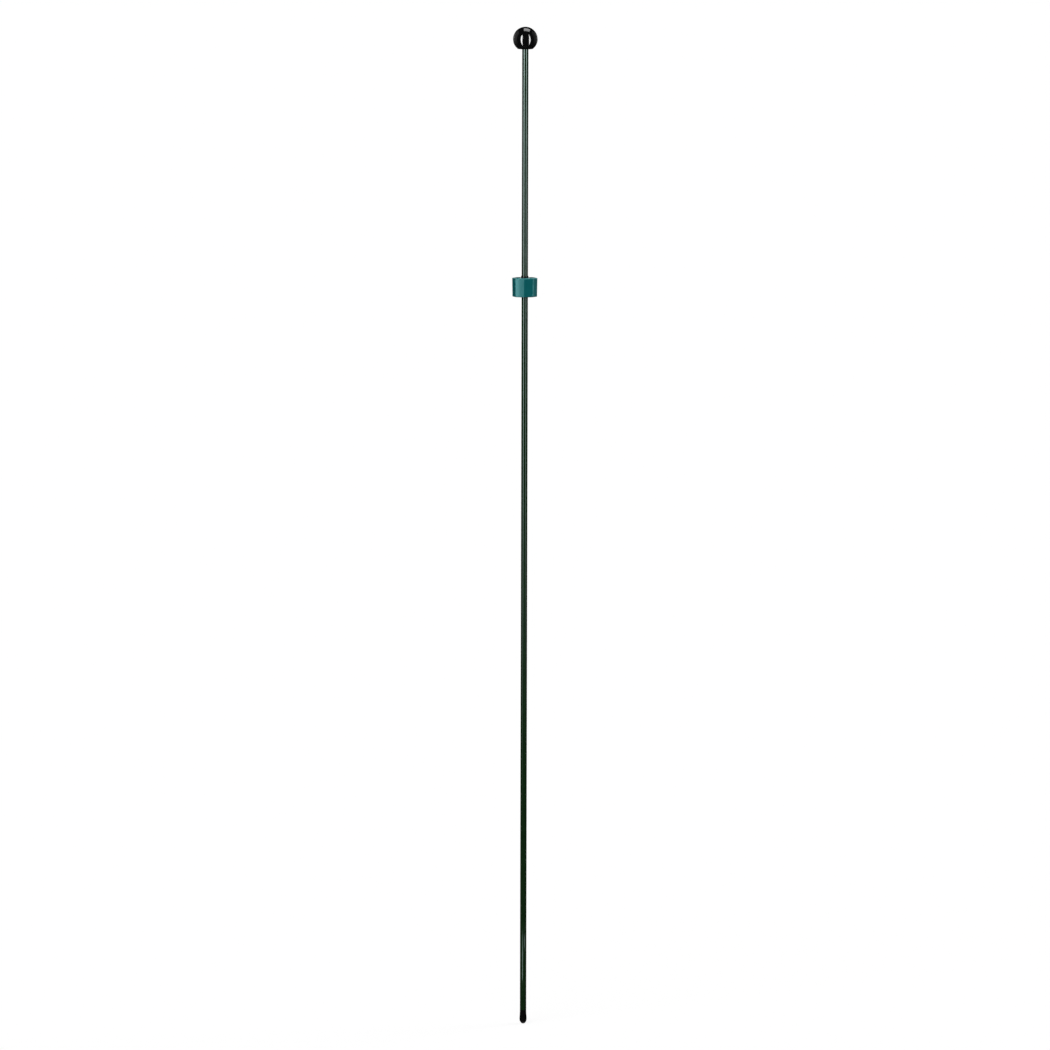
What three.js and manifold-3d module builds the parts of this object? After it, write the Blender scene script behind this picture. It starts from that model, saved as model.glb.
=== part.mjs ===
// Plant stake: a coated steel rod with a ball on its top end, a cap on its lower end,
// and an eight-sided collar that grips the rod, slides along it and turns round it.
// Millimetres, +Z up along the rod, origin at the lowest point of the tip cap.
import * as THREE from 'three';
import { mergeVertices } from 'three/addons/utils/BufferGeometryUtils.js';
import Module from 'manifold-3d';

// Rod: a steel core in a plastic coat.
const ROD_LENGTH = 1000;
const CORE_DIAMETER = 5;
const CORE_CHAMFER = 0.5;
const JACKET_WALL = 0.65;
const JACKET_CLEARANCE = 0.05;

// Tip cap: pushed over the bare end of the core, flush with the coat at its lip.
const CAP_LENGTH = 13.6;
const CAP_BULGE_DIAMETER = 7.2;
const CAP_NOSE_HEIGHT = 4.8;
const CAP_NOSE_THICKNESS = 3;
const CAP_CLEARANCE = 0.1;

// Ball: cut flat underneath, moulded round a bush that takes the end of the core.
const BALL_DIAMETER = 25;
const BALL_HEIGHT = 22.5;
const BALL_EDGE_FILLET = 0.6;
const BALL_ON_ROD = 12.7;
const BALL_SEAT_DEPTH = 3;
const BALL_CLEARANCE = 0.1;
const INSERT_WALL = 1.9;
const INSERT_ROOF = 1.5;
const INSERT_GROOVE_DEPTH = 0.7;
const INSERT_GROOVE_COUNT = 2;
const INSERT_CLEARANCE = 0.05;

// Collar: an eight-sided moulding, a little wider at the top, with two sockets beside its hub.
const COLLAR_SIDES = 8;
const COLLAR_ACROSS_CORNERS = 25.8;
const COLLAR_HEIGHT = 19.2;
const COLLAR_DRAFT_DEGREES = 1;
const COLLAR_EDGE_CHAMFER = 0.6;
const COLLAR_WALL = 2.2;
const COLLAR_BASE_HEIGHT = 738.9;
const HUB_WALL = 0.7;
const SOCKET_FLOOR = 2.4;

// Grip: a rubber sleeve in the hub, held by a bead round its middle.
const GRIP_WALL = 0.5;
const GRIP_PROUD = 1.9;
const GRIP_INSET = 0.5;
const GRIP_BEAD_DEPTH = 0.4;
const GRIP_BEAD_HEIGHT = 3;
const GRIP_CLEARANCE = 0.05;
const SWIVEL_CLEARANCE = 0.1;

// Fineness of the round shapes.
const ROUND_SIDES = 48;
const BALL_ARC_STEPS = 22;
const FILLET_STEPS = 3;
const CAP_NOSE_STEPS = 6;
const CAP_FLANK_STEPS = 5;

// How far a cutting shape runs past the face that it opens.
const CUT_OVERRUN = 1;

// Places along the rod, worked out from the sizes above.
const coreRadius = CORE_DIAMETER / 2;
const jacketBore = coreRadius + JACKET_CLEARANCE;
const rodRadius = jacketBore + JACKET_WALL;
const coreBottom = CAP_NOSE_THICKNESS;
const coreTop = coreBottom + ROD_LENGTH;
const ballFlat = coreTop - BALL_ON_ROD;
const ballTop = ballFlat + BALL_HEIGHT;
const jacketBottom = CAP_LENGTH + CAP_CLEARANCE;
const jacketTop = ballFlat + BALL_SEAT_DEPTH - BALL_CLEARANCE;
const insertBottom = ballFlat + BALL_SEAT_DEPTH;
const insertBore = coreRadius + INSERT_CLEARANCE;
const insertRadius = insertBore + INSERT_WALL;
const insertTop = coreTop + INSERT_CLEARANCE + INSERT_ROOF;
const collarTop = COLLAR_BASE_HEIGHT + COLLAR_HEIGHT;
const collarMiddle = COLLAR_BASE_HEIGHT + COLLAR_HEIGHT / 2;
const gripBore = rodRadius + GRIP_CLEARANCE;
const gripRadius = gripBore + GRIP_WALL;
const beadRadius = gripRadius + GRIP_BEAD_DEPTH;
const hubBore = gripRadius + SWIVEL_CLEARANCE;
const beadGrooveRadius = beadRadius + SWIVEL_CLEARANCE;
const beadGrooveHalf = GRIP_BEAD_HEIGHT / 2 + SWIVEL_CLEARANCE;
const hubWidth = 2 * (beadGrooveRadius + HUB_WALL);

const wasm = await Module();
wasm.setup();

// A [radius, height] outline turned round the rod's axis. The solid lies on the left of the outline.
function turned(outline, sides = ROUND_SIDES) {
  const points = outline.map(([radius, height]) => new THREE.Vector2(radius, height));
  const geometry = new THREE.LatheGeometry(points, sides);
  geometry.rotateX(Math.PI / 2);
  return geometry;
}

// Points of an arc about [centreRadius, centreHeight], both ends included, angles from the radius axis.
function arc(centreRadius, centreHeight, radius, fromAngle, toAngle, steps) {
  return Array.from({ length: steps + 1 }, (_, step) => {
    const angle = fromAngle + (toAngle - fromAngle) * step / steps;
    return [centreRadius + radius * Math.cos(angle), centreHeight + radius * Math.sin(angle)];
  });
}

// A geometry as a closed solid that can be cut and joined.
function solid(geometry) {
  const bare = geometry.clone();
  bare.deleteAttribute('normal');
  bare.deleteAttribute('uv');
  const merged = mergeVertices(bare);
  const corners = merged.index.array;
  const kept = [];
  for (let first = 0; first < corners.length; first += 3) {
    const [a, b, c] = corners.slice(first, first + 3);
    const isFlat = a === b || b === c || c === a;
    if (!isFlat) kept.push(a, b, c);
  }
  const vertProperties = new Float32Array(merged.attributes.position.array);
  const triVerts = new Uint32Array(kept);
  return new wasm.Manifold(new wasm.Mesh({ numProp: 3, vertProperties, triVerts }));
}

// A solid back as a geometry for a mesh.
function geometryOf(body) {
  const mesh = body.getMesh();
  const geometry = new THREE.BufferGeometry();
  geometry.setAttribute('position', new THREE.BufferAttribute(mesh.vertProperties, 3));
  geometry.setIndex(new THREE.BufferAttribute(mesh.triVerts, 1));
  geometry.computeVertexNormals();
  return geometry;
}

// Steel rod with a chamfer at each end.
function steelCore() {
  return turned([
    [0, coreBottom],
    [coreRadius - CORE_CHAMFER, coreBottom],
    [coreRadius, coreBottom + CORE_CHAMFER],
    [coreRadius, coreTop - CORE_CHAMFER],
    [coreRadius - CORE_CHAMFER, coreTop],
    [0, coreTop],
  ]);
}

// Plastic coat from the lip of the tip cap up into the seat in the ball.
function greenJacket() {
  return turned([
    [jacketBore, jacketBottom],
    [rodRadius, jacketBottom],
    [rodRadius, jacketTop],
    [jacketBore, jacketTop],
    [jacketBore, jacketBottom],
  ]);
}

// Round-nosed cap that swells above its nose and thins to the coat's diameter at its lip.
function tipCap() {
  const bulgeRadius = CAP_BULGE_DIAMETER / 2;
  const socketRadius = coreRadius + CAP_CLEARANCE;
  const socketFloor = coreBottom - CAP_CLEARANCE;
  const nose = arc(0, 0, 1, -Math.PI / 2, 0, CAP_NOSE_STEPS).slice(1);
  const outline = [[0, 0]];
  for (const [across, up] of nose) {
    outline.push([across * bulgeRadius, CAP_NOSE_HEIGHT * (1 + up)]);
  }
  for (let step = 1; step <= CAP_FLANK_STEPS; step += 1) {
    const along = step / CAP_FLANK_STEPS;
    const swell = (1 + Math.cos(Math.PI * along)) / 2;
    const height = CAP_NOSE_HEIGHT + (CAP_LENGTH - CAP_NOSE_HEIGHT) * along;
    outline.push([rodRadius + (bulgeRadius - rodRadius) * swell, height]);
  }
  outline.push([socketRadius, CAP_LENGTH], [socketRadius, socketFloor], [0, socketFloor]);
  return turned(outline);
}

// Outline of the bush from its lower face round its grooved outside to its roof, grown by a margin.
function insertOutside(margin) {
  const length = insertTop - insertBottom;
  const band = length / (2 * INSERT_GROOVE_COUNT + 1);
  const grooveRadius = insertRadius - INSERT_GROOVE_DEPTH;
  const outline = [[insertRadius + margin, insertBottom - margin]];
  for (let groove = 0; groove < INSERT_GROOVE_COUNT; groove += 1) {
    const lower = insertBottom + band * (2 * groove + 1) + margin;
    const upper = lower + band - 2 * margin;
    outline.push([insertRadius + margin, lower], [grooveRadius + margin, lower]);
    outline.push([grooveRadius + margin, upper], [insertRadius + margin, upper]);
  }
  outline.push([insertRadius + margin, insertTop + margin], [0, insertTop + margin]);
  return outline;
}

// Blind bush with grooves that key it into the ball.
function ballInsert() {
  const boreRoof = coreTop + INSERT_CLEARANCE;
  return turned([
    [0, boreRoof],
    [insertBore, boreRoof],
    [insertBore, insertBottom],
    ...insertOutside(0),
  ]);
}

// Ball with a flat underside, a seat for the coat's end and the hollow that the bush fills.
function ballShell() {
  const radius = BALL_DIAMETER / 2;
  const centre = ballTop - radius;
  const seatRadius = rodRadius + BALL_CLEARANCE;
  const filletHeight = ballFlat + BALL_EDGE_FILLET;
  const filletReach = radius - BALL_EDGE_FILLET;
  const filletRadius = Math.sqrt(filletReach ** 2 - (centre - filletHeight) ** 2);
  const meetAngle = Math.atan2(filletHeight - centre, filletRadius);
  const hollow = insertOutside(INSERT_CLEARANCE).reverse();
  const fillet = arc(filletRadius, filletHeight, BALL_EDGE_FILLET, -Math.PI / 2, meetAngle, FILLET_STEPS);
  const crown = arc(0, centre, radius, meetAngle, Math.PI / 2, BALL_ARC_STEPS).slice(1, -1);
  return turned([
    ...hollow,
    [seatRadius, insertBottom - INSERT_CLEARANCE],
    [seatRadius, ballFlat],
    ...fillet,
    ...crown,
    [0, ballTop],
  ]);
}

// Distance from the axis to a corner of the collar's outside at a height, moved in by an inset of its faces.
function collarCorner(height, inset) {
  const faceAngle = Math.PI / COLLAR_SIDES;
  const slope = Math.tan(THREE.MathUtils.degToRad(COLLAR_DRAFT_DEGREES));
  const topFace = COLLAR_ACROSS_CORNERS / 2 * Math.cos(faceAngle);
  return (topFace - slope * (collarTop - height) - inset) / Math.cos(faceAngle);
}

// Eight-sided moulding: its bore holds the grip, and a wall across it parts the two sockets.
function collarBody() {
  const lowEdge = COLLAR_BASE_HEIGHT + COLLAR_EDGE_CHAMFER;
  const highEdge = collarTop - COLLAR_EDGE_CHAMFER;
  const outside = turned([
    [0, COLLAR_BASE_HEIGHT],
    [collarCorner(COLLAR_BASE_HEIGHT, COLLAR_EDGE_CHAMFER), COLLAR_BASE_HEIGHT],
    [collarCorner(lowEdge, 0), lowEdge],
    [collarCorner(highEdge, 0), highEdge],
    [collarCorner(collarTop, COLLAR_EDGE_CHAMFER), collarTop],
    [0, collarTop],
  ], COLLAR_SIDES);
  const floor = COLLAR_BASE_HEIGHT + SOCKET_FLOOR;
  const mouth = collarTop + CUT_OVERRUN;
  const hollow = turned([
    [0, floor],
    [collarCorner(floor, COLLAR_WALL), floor],
    [collarCorner(mouth, COLLAR_WALL), mouth],
    [0, mouth],
  ], COLLAR_SIDES);
  const hub = new THREE.BoxGeometry(hubWidth, COLLAR_ACROSS_CORNERS, 2 * COLLAR_HEIGHT);
  hub.translate(0, 0, collarMiddle);
  const bore = turned([
    [0, COLLAR_BASE_HEIGHT - CUT_OVERRUN],
    [hubBore, COLLAR_BASE_HEIGHT - CUT_OVERRUN],
    [hubBore, collarMiddle - beadGrooveHalf],
    [beadGrooveRadius, collarMiddle - beadGrooveHalf],
    [beadGrooveRadius, collarMiddle + beadGrooveHalf],
    [hubBore, collarMiddle + beadGrooveHalf],
    [hubBore, collarTop + CUT_OVERRUN],
    [0, collarTop + CUT_OVERRUN],
  ]);
  const sockets = solid(hollow).subtract(solid(hub));
  return geometryOf(solid(outside).subtract(sockets).subtract(solid(bore)));
}

// Sleeve that stands a little proud of the collar's top, with the bead that keeps it in the hub.
function collarGrip() {
  const bottom = COLLAR_BASE_HEIGHT + GRIP_INSET;
  const top = collarTop + GRIP_PROUD;
  const beadHalf = GRIP_BEAD_HEIGHT / 2;
  return turned([
    [gripBore, bottom],
    [gripRadius, bottom],
    [gripRadius, collarMiddle - beadHalf],
    [beadRadius, collarMiddle - beadHalf],
    [beadRadius, collarMiddle + beadHalf],
    [gripRadius, collarMiddle + beadHalf],
    [gripRadius, top],
    [gripBore, top],
    [gripBore, bottom],
  ]);
}

// One named piece with its own finish.
function piece(name, geometry, color, roughness, metalness = 0) {
  const mesh = new THREE.Mesh(geometry, new THREE.MeshStandardMaterial({ color, roughness, metalness }));
  mesh.name = name;
  return mesh;
}

const stake = new THREE.Group();
stake.add(piece('steel_core', steelCore(), 0xa4a7aa, 0.35, 1));
stake.add(piece('green_jacket', greenJacket(), 0x0e2416, 0.2));
stake.add(piece('tip_cap', tipCap(), 0x0c0c0c, 0.5));
stake.add(piece('ball_insert', ballInsert(), 0xb08d4a, 0.35, 1));
stake.add(piece('ball_top', ballShell(), 0x050505, 0.08));

const slider = new THREE.Group();
slider.add(piece('collar_grip', collarGrip(), 0x0a0a0a, 0.3));
slider.add(piece('collar_body', collarBody(), 0x055558, 0.35));
stake.add(slider);

export default stake;
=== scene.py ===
"""A plant stake: a green coated rod with a black ball on top, a black tip cap and a teal collar.

Metres, +Z up along the rod, the tip on the floor at the origin.
"""

import math

import bmesh
import bpy
from mathutils import Matrix, Vector


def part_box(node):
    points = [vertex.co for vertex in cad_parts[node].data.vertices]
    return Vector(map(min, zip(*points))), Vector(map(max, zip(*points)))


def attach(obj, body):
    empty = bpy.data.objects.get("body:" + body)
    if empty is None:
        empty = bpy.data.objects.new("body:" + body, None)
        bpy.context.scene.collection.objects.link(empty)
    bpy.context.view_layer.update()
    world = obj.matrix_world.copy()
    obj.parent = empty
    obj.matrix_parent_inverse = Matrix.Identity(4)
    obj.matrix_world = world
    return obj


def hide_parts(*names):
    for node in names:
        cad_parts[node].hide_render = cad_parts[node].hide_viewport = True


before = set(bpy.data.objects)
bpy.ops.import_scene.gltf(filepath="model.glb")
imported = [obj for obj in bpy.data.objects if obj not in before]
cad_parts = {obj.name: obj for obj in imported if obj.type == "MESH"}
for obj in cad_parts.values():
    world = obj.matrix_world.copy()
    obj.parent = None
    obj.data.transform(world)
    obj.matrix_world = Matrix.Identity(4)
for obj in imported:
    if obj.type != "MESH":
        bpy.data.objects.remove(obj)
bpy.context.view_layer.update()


def levels(node):
    """Lowest level, highest level and widest radius of a CAD node."""
    low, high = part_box(node)
    return low.z, high.z, high.x


# Levels and radii that the frame gives.
CORE_BOTTOM, CORE_TOP, CORE_RADIUS = levels("steel_core")
COAT_BOTTOM, COAT_TOP, COAT_RADIUS = levels("green_jacket")
CAP_BOTTOM, CAP_LIP, CAP_RADIUS = levels("tip_cap")
BUSH_BOTTOM, BUSH_TOP, BUSH_RADIUS = levels("ball_insert")
BALL_FLAT, BALL_TOP, BALL_RADIUS = levels("ball_top")
SLEEVE_BOTTOM, SLEEVE_TOP, SLEEVE_BEAD = levels("collar_grip")
COLLAR_BOTTOM, COLLAR_TOP, COLLAR_REACH = levels("collar_body")

# Rod and its coat.
FIT = 0.00005
COAT_BORE = CORE_RADIUS + FIT
COAT_LIP = 0.00012
CORE_CHAMFER = 0.0005
THREAD_PITCH = 0.0008
THREAD_DEPTH = 0.00042
THREAD_LENGTH = 0.0090
THREAD_RUNOUT = 0.0006
ROD_STEP = 0.014

# Tip cap.
CAP_NOSE = 0.0048
CAP_SOCKET = CORE_RADIUS + 2 * FIT
CAP_FLOOR = 0.0029
CAP_LIP_ROUND = 0.00016
SCUFF_START = 1.4 * CAP_NOSE
SCUFF_FULL = 0.2 * CAP_NOSE

# Ball and the bush inside it.
BALL_EDGE_ROUND = 0.0006
BALL_SEAT_RADIUS = COAT_RADIUS + 2 * FIT
BUSH_BORE = CORE_RADIUS + FIT
BUSH_ROOF = 0.0015
BUSH_GROOVES = 2
BUSH_GROOVE_DEPTH = 0.0007
BUSH_ROUND = 0.00015
KNURL_FLUTES = 36
KNURL_DEPTH = 0.00022

# Sleeve between collar and rod.
SLEEVE_BORE = COAT_RADIUS + FIT
SLEEVE_WALL = 0.0005
SLEEVE_RADIUS = SLEEVE_BORE + SLEEVE_WALL
SLEEVE_BEAD_HALF = 0.0015
SLEEVE_ROUND = 0.00016

# Collar: eight drafted faces, two sockets beside a hub, and the hub's bore.
COLLAR_SIDES = 8
COLLAR_MIDDLE = (COLLAR_BOTTOM + COLLAR_TOP) / 2
COLLAR_DRAFT = math.radians(1.0)
COLLAR_CORNER_ROUND = 0.0009
COLLAR_EDGE_ROUND = 0.0006
# Paleness of each of the collar's eight corners, from the front anticlockwise seen from above:
# partly wear, partly a painted highlight.
CORNER_WEAR_AND_HIGHLIGHT = (0.1, 1.0, 0.5, 0.6, 0.3, 0.7, 0.5, 0.1)
COLLAR_WALL = 0.0022
HUB_WALL = 0.0007
SOCKET_FLOOR = 0.0024
SOCKET_CORNER_ROUND = 0.0011
SOCKET_FLOOR_ROUND = 0.0006
SOCKET_MOUTH_ROUND = 0.0003
# Painted shade: how deep the sockets darken below the top, and how dark the base's rounded edge is
# painted.
SOCKET_SHADE_DEPTH = 0.0008
BASE_PAINTED_SHADE = 0.8
BORE_RADIUS = SLEEVE_RADIUS + 2 * FIT
BORE_MOUTH_ROUND = 0.0003
GROOVE_RADIUS = SLEEVE_BEAD + 2 * FIT
GROOVE_HALF = 0.0016
PIN_MARKS = 4
PIN_MARK_RADIUS = 0.0012
PIN_MARK_DEPTH = 0.00015
PIN_MARK_REACH = 0.0076

# Fineness of the meshes.
ROUND_SIDES = 128
ROD_SIDES = 96
PIN_MARK_SIDES = 32
KNURL_STEPS = 8
THREAD_STEPS = 8
ROUND_STEPS = 6
BUSH_STEPS = 3
BALL_STEPS = 72
CAP_STEPS = 20
SHARP_ANGLE = math.radians(36)
MERGE_DISTANCE = 1e-8
ON_AXIS = 1e-9

# The photograph: its side and where the stake lies in it, in pixels.
PHOTO_SIDE = 1050
BALL_TOP_ROW = 26.75
TIP_ROW = 1023.4
AXIS_COLUMN = 524.2

# The camera, far off; its sensor is in millimetres.
LEAN = math.radians(0.136)
CAMERA_AZIMUTH = math.radians(3.0)
CAMERA_DISTANCE = 40.0
CAMERA_HEIGHT = 3.58
SENSOR = 36.0
CLIP_END = 400.0


# Outlines


def arc(across, along, radius, start, end, steps):
    """Points of an arc about (across, along) with both ends, its angles from the outward axis."""
    points = []
    for step in range(steps + 1):
        angle = start + (end - start) * step / steps
        points.append((across + radius * math.cos(angle), along + radius * math.sin(angle), 0.0))
    return points


def line(start, end, longest):
    """Points of a straight run, both ends included, none further apart than the longest step."""
    length = math.dist(start, end)
    steps = max(1, math.ceil(length / longest))
    points = []
    for step in range(steps + 1):
        share = step / steps
        across = start[0] + (end[0] - start[0]) * share
        along = start[1] + (end[1] - start[1]) * share
        points.append((across, along, 0.0))
    return points


def rounded(corners, steps=ROUND_STEPS):
    """A closed outline with each (across, along, radius) corner rounded.

    A point's third value is how pale its edge is, partly from wear and partly a painted highlight.
    """
    points = []
    for index, (across, along, radius) in enumerate(corners):
        corner = Vector((across, along))
        if not radius:
            points.append((across, along, 0.0))
            continue
        back = (Vector(corners[index - 1][:2]) - corner).normalized()
        ahead = (Vector(corners[(index + 1) % len(corners)][:2]) - corner).normalized()
        half = back.angle(ahead) / 2
        centre = corner + (back + ahead).normalized() * radius / math.sin(half)
        first = corner + back * radius / math.tan(half) - centre
        turn = math.copysign(math.pi - 2 * half, back.y * ahead.x - back.x * ahead.y)
        for step in range(steps + 1):
            spoke = Matrix.Rotation(turn * step / steps, 2) @ first
            wear_and_highlight = math.sin(math.pi * step / steps)
            points.append((centre.x + spoke.x, centre.y + spoke.y, wear_and_highlight))
    return points


# Meshes


def new_shape():
    """An empty mesh, with layers for the wear and painted highlight along its edges and the
    painted shade in its hollows.
    """
    shape = bmesh.new()
    shape.verts.layers.float.new("edge_wear")
    shape.verts.layers.float.new("hollow_dirt")
    return shape


def ring(shape, points, painted_shade=0.0):
    """Vertices at (x, y, z, edge wear and highlight) points, all with the same painted shade."""
    wear_and_highlight_layer = shape.verts.layers.float["edge_wear"]
    painted_shade_layer = shape.verts.layers.float["hollow_dirt"]
    made = []
    for x, y, z, worn_and_highlit in points:
        vertex = shape.verts.new((x, y, z))
        vertex[wear_and_highlight_layer] = worn_and_highlit
        vertex[painted_shade_layer] = painted_shade
        made.append(vertex)
    return made


def band(shape, lower, upper):
    """Faces between two rings, where either may be a single point on the axis."""
    count = max(len(lower), len(upper))
    for index in range(count):
        after = index + 1
        corners = [
            lower[index % len(lower)],
            lower[after % len(lower)],
            upper[after % len(upper)],
            upper[index % len(upper)],
        ]
        shape.faces.new(list(dict.fromkeys(corners)))


def skin(shape, rings, closed=False):
    """Faces through a run of rings, and back to the first where it is closed."""
    for lower, upper in zip(rings, rings[1:]):
        band(shape, lower, upper)
    if closed:
        band(shape, rings[-1], rings[0])


def circle(radius, height, sides, wear_and_highlight=0.0, centre=(0.0, 0.0)):
    """Points of a level circle, from the front anticlockwise seen from above."""
    if radius < ON_AXIS:
        return [(centre[0], centre[1], height, wear_and_highlight)]
    points = []
    for side in range(sides):
        angle = 2 * math.pi * side / sides
        x = centre[0] + radius * math.sin(angle)
        y = centre[1] - radius * math.cos(angle)
        points.append((x, y, height, wear_and_highlight))
    return points


def round_rings(shape, outline, sides):
    """Rings about the rod's axis through the (radius, height, edge wear and highlight) points of
    an outline.
    """
    return [ring(shape, circle(radius, height, sides, wear_and_highlight)) for radius, height, wear_and_highlight in outline]


def turned(outline, sides=ROUND_SIDES, closed=False):
    """A solid turned about the rod's axis, from an outline that has the solid on its left."""
    shape = new_shape()
    skin(shape, round_rings(shape, outline, sides), closed)
    return shape


def flat_fill(shape, rings):
    """A level face bounded by the first ring, with the other rings as holes in it."""
    edges = []
    for vertices in rings:
        for first, second in zip(vertices, vertices[1:] + vertices[:1]):
            edges.append(shape.edges.get((first, second)) or shape.edges.new((first, second)))
    bmesh.ops.triangle_fill(shape, edges=edges, use_beauty=True, use_dissolve=False)


def plain_mesh(piece):
    """Turns a piece and its modifiers into one plain mesh."""
    graph = bpy.context.evaluated_depsgraph_get()
    mesh = bpy.data.meshes.new_from_object(piece.evaluated_get(graph))
    mesh.name = piece.name
    piece.modifiers.clear()
    piece.data = mesh


def new_piece(name, shape, material):
    """An object from a mesh under construction, smooth between its edges."""
    bmesh.ops.remove_doubles(shape, verts=shape.verts, dist=MERGE_DISTANCE)
    bmesh.ops.recalc_face_normals(shape, faces=shape.faces)
    mesh = bpy.data.meshes.new(name)
    shape.to_mesh(mesh)
    shape.free()
    mesh.materials.append(material)
    mesh.shade_smooth()
    mesh.set_sharp_from_angle(angle=SHARP_ANGLE)
    piece = bpy.data.objects.new(name, mesh)
    bpy.context.scene.collection.objects.link(piece)
    return piece


def even_normals(piece):
    """Lets the large flat faces set the shading of the rounds beside them."""
    modifier = piece.modifiers.new("even_normals", "WEIGHTED_NORMAL")
    modifier.mode = "FACE_AREA"
    modifier.weight = 100
    modifier.keep_sharp = True
    plain_mesh(piece)


def stand_for(piece, body, node):
    """Puts a piece on its body in place of a CAD node."""
    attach(piece, body)
    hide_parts(node)


# Node trees


def add(tree, kind, inputs=None, **settings):
    """A node with its settings and its inputs, each input a value or another node's socket."""
    node = tree.nodes.new(kind)
    for name, value in settings.items():
        setattr(node, name, value)
    for name, value in (inputs or {}).items():
        if isinstance(value, bpy.types.NodeSocket):
            tree.links.new(value, node.inputs[name])
        else:
            node.inputs[name].default_value = value
    return node


def maths(tree, operation, *values):
    """The result of one sum on sockets and numbers."""
    return add(tree, "ShaderNodeMath", dict(enumerate(values)), operation=operation).outputs[0]


def share_of(tree, value, low, high):
    """How far a value is from low to high, kept between 0 and 1."""
    inputs = {"Value": value, "From Min": low, "From Max": high}
    return add(tree, "ShaderNodeMapRange", inputs, clamp=True).outputs["Result"]


def radial_wave():
    """Geometry nodes that cut V grooves into a turned piece: a knurl or, twisted, a thread."""
    tree = bpy.data.node_groups.new("radial_wave", "GeometryNodeTree")
    tree.is_modifier = True
    sockets = tree.interface
    sockets.new_socket("Geometry", in_out="OUTPUT", socket_type="NodeSocketGeometry")
    sockets.new_socket("Geometry", in_out="INPUT", socket_type="NodeSocketGeometry")
    for name in ("Grooves", "Turns per metre", "Depth", "Lower", "Upper", "Runout", "Outside of"):
        sockets.new_socket(name, in_out="INPUT", socket_type="NodeSocketFloat")
    sockets.new_socket("Finish", in_out="INPUT", socket_type="NodeSocketMaterial")
    given = add(tree, "NodeGroupInput").outputs
    place = add(tree, "GeometryNodeInputPosition").outputs["Position"]
    x, y, z = add(tree, "ShaderNodeSeparateXYZ", {"Vector": place}).outputs
    level = add(tree, "ShaderNodeCombineXYZ", {"X": x, "Y": y}).outputs["Vector"]
    radius = add(tree, "ShaderNodeVectorMath", {0: level}, operation="LENGTH").outputs["Value"]
    outward = add(tree, "ShaderNodeVectorMath", {0: level}, operation="NORMALIZE").outputs[0]
    turn = maths(tree, "DIVIDE", maths(tree, "ARCTAN2", y, x), 2 * math.pi)
    phase = maths(tree, "MULTIPLY", turn, given["Grooves"])
    phase = maths(tree, "ADD", phase, maths(tree, "MULTIPLY", z, given["Turns per metre"]))
    groove = maths(tree, "MULTIPLY", maths(tree, "PINGPONG", phase, 0.5), 2.0)
    above = maths(tree, "DIVIDE", maths(tree, "SUBTRACT", z, given["Lower"]), given["Runout"])
    below = maths(tree, "DIVIDE", maths(tree, "SUBTRACT", given["Upper"], z), given["Runout"])
    ends = [share_of(tree, end, 0.0, 1.0) for end in (above, below)]
    inside = maths(tree, "MULTIPLY", *ends)
    outer = maths(tree, "GREATER_THAN", radius, given["Outside of"])
    cut = maths(tree, "MULTIPLY", maths(tree, "MULTIPLY", groove, inside), outer)
    inward = maths(tree, "MULTIPLY", cut, maths(tree, "MULTIPLY", given["Depth"], -1.0))
    inputs = {0: outward, "Scale": inward}
    move = add(tree, "ShaderNodeVectorMath", inputs, operation="SCALE").outputs[0]
    inputs = {"Geometry": given["Geometry"], "Offset": move}
    cut_piece = add(tree, "GeometryNodeSetPosition", inputs)
    real = add(tree, "GeometryNodeRealizeInstances", {"Geometry": cut_piece.outputs["Geometry"]})
    inputs = {"Geometry": real.outputs["Geometry"], "Material": given["Finish"]}
    finished = add(tree, "GeometryNodeSetMaterial", inputs)
    add(tree, "NodeGroupOutput", {"Geometry": finished.outputs["Geometry"]})
    return tree


def cut_grooves(piece, tree, **sizes):
    """Runs the groove tree on a piece with the named sizes and keeps the plain mesh."""
    modifier = piece.modifiers.new("grooves", "NODES")
    modifier.node_group = tree
    for item in tree.interface.items_tree:
        key = item.name.lower().replace(" ", "_")
        if item.in_out == "INPUT" and key in sizes:
            modifier[item.identifier] = sizes[key]
    plain_mesh(piece)


# Finishes

# Pairs of colours that a grain blends, and single colours.
BALL_BLACKS = (0.0016, 0.0016, 0.0018), (0.0036, 0.0036, 0.0039)
COAT_GREENS = (0.0028, 0.0108, 0.0030), (0.0085, 0.026, 0.0078)
COAT_GLOSS = (0.78, 1.0, 0.98, 1.0)
COLLAR_TEALS = (0.0008, 0.082, 0.089), (0.0016, 0.102, 0.110)
# Collar's pale edges, partly wear and partly a painted highlight, then its painted shade.
COLLAR_WORN_AND_HIGHLIT = (0.085, 0.400, 0.410)
COLLAR_PAINTED_SHADE = (0.0012, 0.018, 0.019)
COLLAR_GLOSS = (0.58, 1.0, 1.0, 1.0)
SLEEVE_BLACKS = (0.0018, 0.0020, 0.0020), (0.0048, 0.0050, 0.0048)
CAP_BLACKS = (0.0022, 0.0023, 0.0023), (0.0085, 0.0085, 0.0078)
STEEL_GREYS = (0.42, 0.43, 0.44), (0.62, 0.63, 0.64)
BRASS_YELLOWS = (0.46, 0.31, 0.10), (0.66, 0.47, 0.18)

# How the finishes shine.
GLOSS_IOR = 1.5
COLLAR_IOR = 1.49
SLEEVE_SHINE = 0.3
CAP_SHINE = 0.12
GRAIN_DETAIL = 3.0

# Sockets of a colour mix, by number because its kinds share their names.
MIX_SHARE, MIX_FIRST, MIX_SECOND = 0, 6, 7
MIX_RESULT = 2


def new_finish(name):
    """A new material with its tree and its main shader."""
    material = bpy.data.materials.new(name)
    material.use_nodes = True
    tree = material.node_tree
    return material, tree, tree.nodes["Principled BSDF"]


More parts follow.
